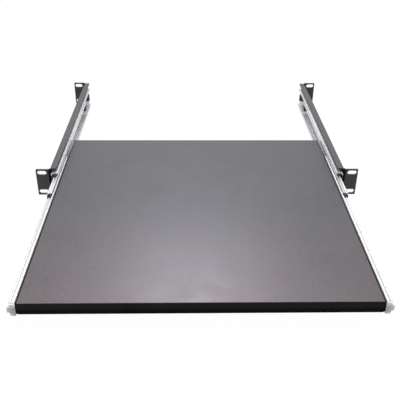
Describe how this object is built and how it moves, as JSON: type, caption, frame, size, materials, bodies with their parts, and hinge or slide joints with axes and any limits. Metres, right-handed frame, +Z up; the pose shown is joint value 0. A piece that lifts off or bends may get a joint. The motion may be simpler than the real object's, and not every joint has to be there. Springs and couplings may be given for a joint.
{
  "type": "sliding rack shelf",
  "caption": "Folded steel shelf on telescopic ball slides between eared side brackets; it pulls out of the front of a rack.",
  "frame": {"origin": "middle of the front ears' four slots, on the ears' front faces", "axes": "+X to the right as seen from the front, +Y to the back of the rack, +Z up; the shelf pulls out along -Y"},
  "size_m": [0.4826, 0.659, 0.043],
  "materials": {
    "bracket_coat": "fine textured black powder coat",
    "shelf_coat": "fine textured black powder coat",
    "zinc": "bright zinc plate over rolled steel",
    "black_plastic": "moulded, satin",
    "ball_steel": "polished ball steel, lightly greased",
    "fasteners": "zinc plate"
  },
  "bodies": {
    "rack_side": {"bracket_left": "bracket_coat", "bracket_right": "bracket_coat", "outer_member_left": "zinc", "outer_member_right": "zinc", "front_stop_left": "black_plastic", "front_stop_right": "black_plastic", "rear_bumper_left": "black_plastic", "rear_bumper_right": "black_plastic", "outer_screws_left": "fasteners", "outer_screws_right": "fasteners", "outer_nuts_left": "fasteners", "outer_nuts_right": "fasteners"},
    "middle_rails": {"middle_member_left": "zinc", "middle_member_right": "zinc", "middle_front_stop_left": "black_plastic", "middle_front_stop_right": "black_plastic", "middle_rear_stop_left": "black_plastic", "middle_rear_stop_right": "black_plastic"},
    "sliding_shelf": {"shelf": "shelf_coat", "stiffener": "shelf_coat", "inner_member_left": "zinc", "inner_member_right": "zinc", "inner_screws_left": "fasteners", "inner_screws_right": "fasteners", "inner_nuts_left": "fasteners", "inner_nuts_right": "fasteners"},
    "outer_cages": {"outer_cage_left": "black_plastic", "outer_cage_right": "black_plastic", "outer_balls_left": "ball_steel", "outer_balls_right": "ball_steel"},
    "inner_cages": {"inner_cage_left": "black_plastic", "inner_cage_right": "black_plastic", "inner_balls_left": "ball_steel", "inner_balls_right": "ball_steel"}
  },
  "joints": [
    {"name": "middle_slide", "type": "slide", "parent": "rack_side", "child": "middle_rails", "axis": [0, -1, 0], "range_m": [-0.0445, 0.075]},
    {"name": "shelf_slide", "type": "slide", "parent": "middle_rails", "child": "sliding_shelf", "axis": [0, -1, 0], "range_m": [-0.2265, 0]},
    {"name": "outer_cage_slide", "type": "slide", "parent": "rack_side", "child": "outer_cages", "axis": [0, -1, 0], "range_m": [-0.02225, 0.0375]},
    {"name": "inner_cage_slide", "type": "slide", "parent": "middle_rails", "child": "inner_cages", "axis": [0, -1, 0], "range_m": [-0.11325, 0]}
  ],
  "couplings": [
    {"joint": "outer_cage_slide", "follows": "middle_slide", "ratio": 0.5},
    {"joint": "inner_cage_slide", "follows": "shelf_slide", "ratio": 0.5}
  ]
}
